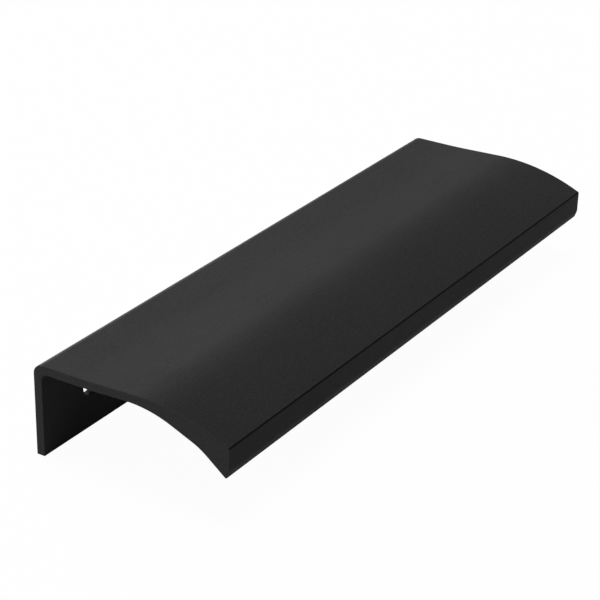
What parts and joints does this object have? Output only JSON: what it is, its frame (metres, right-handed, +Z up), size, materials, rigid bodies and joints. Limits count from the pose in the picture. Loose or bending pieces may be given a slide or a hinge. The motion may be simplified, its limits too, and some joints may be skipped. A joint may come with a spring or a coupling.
{
  "type": "edge pull",
  "caption": "Extruded aluminium edge pull: a screw flange behind the panel, a web over its edge, and a curved grip with a wedge-shaped lip in front.",
  "frame": {"origin": "middle of the screw line, on the seat face: the side of the flange that lies against the back of the panel", "axes": "+X along the bar, +Y to the back, away from the panel, so the grip and its lip reach towards -Y; +Z up"},
  "size_m": [0.16, 0.05, 0.0225],
  "materials": {
    "bar": "matte black, fine powder-like texture"
  },
  "bodies": {
    "root": {"edge_pull": "bar"}
  },
  "joints": []
}
